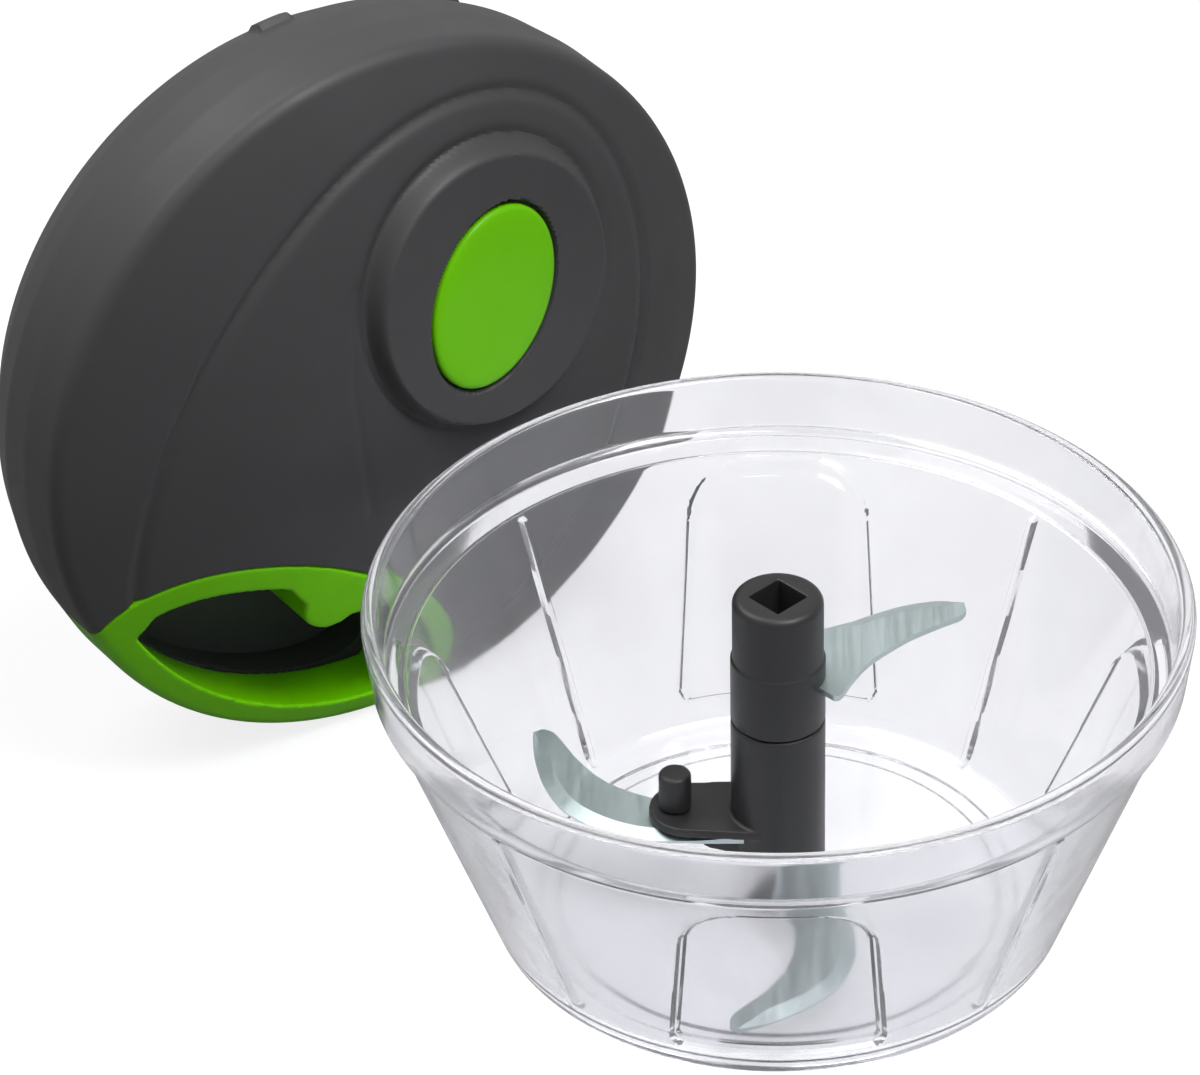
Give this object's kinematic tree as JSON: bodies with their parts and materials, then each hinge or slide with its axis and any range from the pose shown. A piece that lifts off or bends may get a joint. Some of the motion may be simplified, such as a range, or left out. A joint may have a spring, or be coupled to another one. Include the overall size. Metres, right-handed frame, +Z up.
{
  "type": "pull-cord vegetable chopper",
  "caption": "Hand chopper with a clear tapered bowl, a three-blade tower on a floor pin, and a domed lid whose pull handle spins the blades by a cord and recoil reel",
  "frame": {"origin": "centre of the bowl's underside, on the surface it stands on", "axes": "+Z up along the blade tower's axis, -Y towards the viewer of the picture, the lid stands at -X +Y"},
  "size_m": [0.1826, 0.1663, 0.1196],
  "materials": {
    "clear_plastic": "clear, polished",
    "cover_grey": "soft satin",
    "base_grey": "satin",
    "shaft_grey": "satin",
    "gloss_green": "glossy",
    "blade_steel": "brushed, ground edge",
    "bright_steel": "bright",
    "spring_steel": "blued",
    "bearing_plastic": "waxy white",
    "reel_plastic": "satin",
    "cord_nylon": "braided"
  },
  "bodies": {
    "base": {"bowl": "clear_plastic", "pivot_pin": "bright_steel"},
    "blade_bush": {"shaft_bush": "bearing_plastic"},
    "blade_unit": {"blade_shaft": "shaft_grey", "shaft_cap": "shaft_grey", "blade_upper": "blade_steel", "blade_middle": "blade_steel", "blade_lower": "blade_steel", "blade_stud": "shaft_grey"},
    "lid": {"top_cover": "cover_grey", "oval_insert": "gloss_green", "base_cover": "base_grey", "cover_screw_1": "bright_steel", "cover_screw_2": "bright_steel", "cover_screw_3": "bright_steel", "cover_screw_4": "bright_steel", "spindle_bush": "bearing_plastic", "spring_housing": "base_grey", "housing_screw_1": "bright_steel", "housing_screw_2": "bright_steel", "housing_screw_3": "bright_steel", "cord_guide": "bright_steel"},
    "handle": {"pull_handle": "gloss_green", "cord_knot": "cord_nylon", "pull_cord": "cord_nylon"},
    "reel": {"cord_reel": "reel_plastic", "drive_spindle": "bright_steel", "reel_screw": "bright_steel", "reel_cord": "cord_nylon", "recoil_spring": "spring_steel"}
  },
  "joints": [
    {"name": "blade_lift", "type": "slide", "parent": "base", "child": "blade_bush", "axis": [0, 0, 1], "range_m": [0, 0.06]},
    {"name": "blade_spin", "type": "hinge", "parent": "blade_bush", "child": "blade_unit", "pos_m": [0, 0, 0], "axis": [0, 0, 1], "continuous": true},
    {"name": "lid_lift", "type": "slide", "parent": "base", "child": "lid", "axis": [0, 0, 1], "range_m": [0, 0.4]},
    {"name": "handle_pull", "type": "slide", "parent": "lid", "child": "handle", "axis": [-0.427, -0.3139, -0.848], "range_m": [0, 0.23], "stiffness_N_per_m": 12, "springref_m": -0.1, "deforming": ["pull_cord"]},
    {"name": "reel_spin", "type": "hinge", "parent": "lid", "child": "reel", "pos_m": [-0.06221, 0.05207, 0.05982], "axis": [0.5878, -0.809, 0.0035], "range_deg": [0, 935.6], "deforming": ["recoil_spring"]}
  ],
  "couplings": [
    {"joint": "reel_spin", "follows": "handle_pull", "rad_per_m": 70.922}
  ]
}
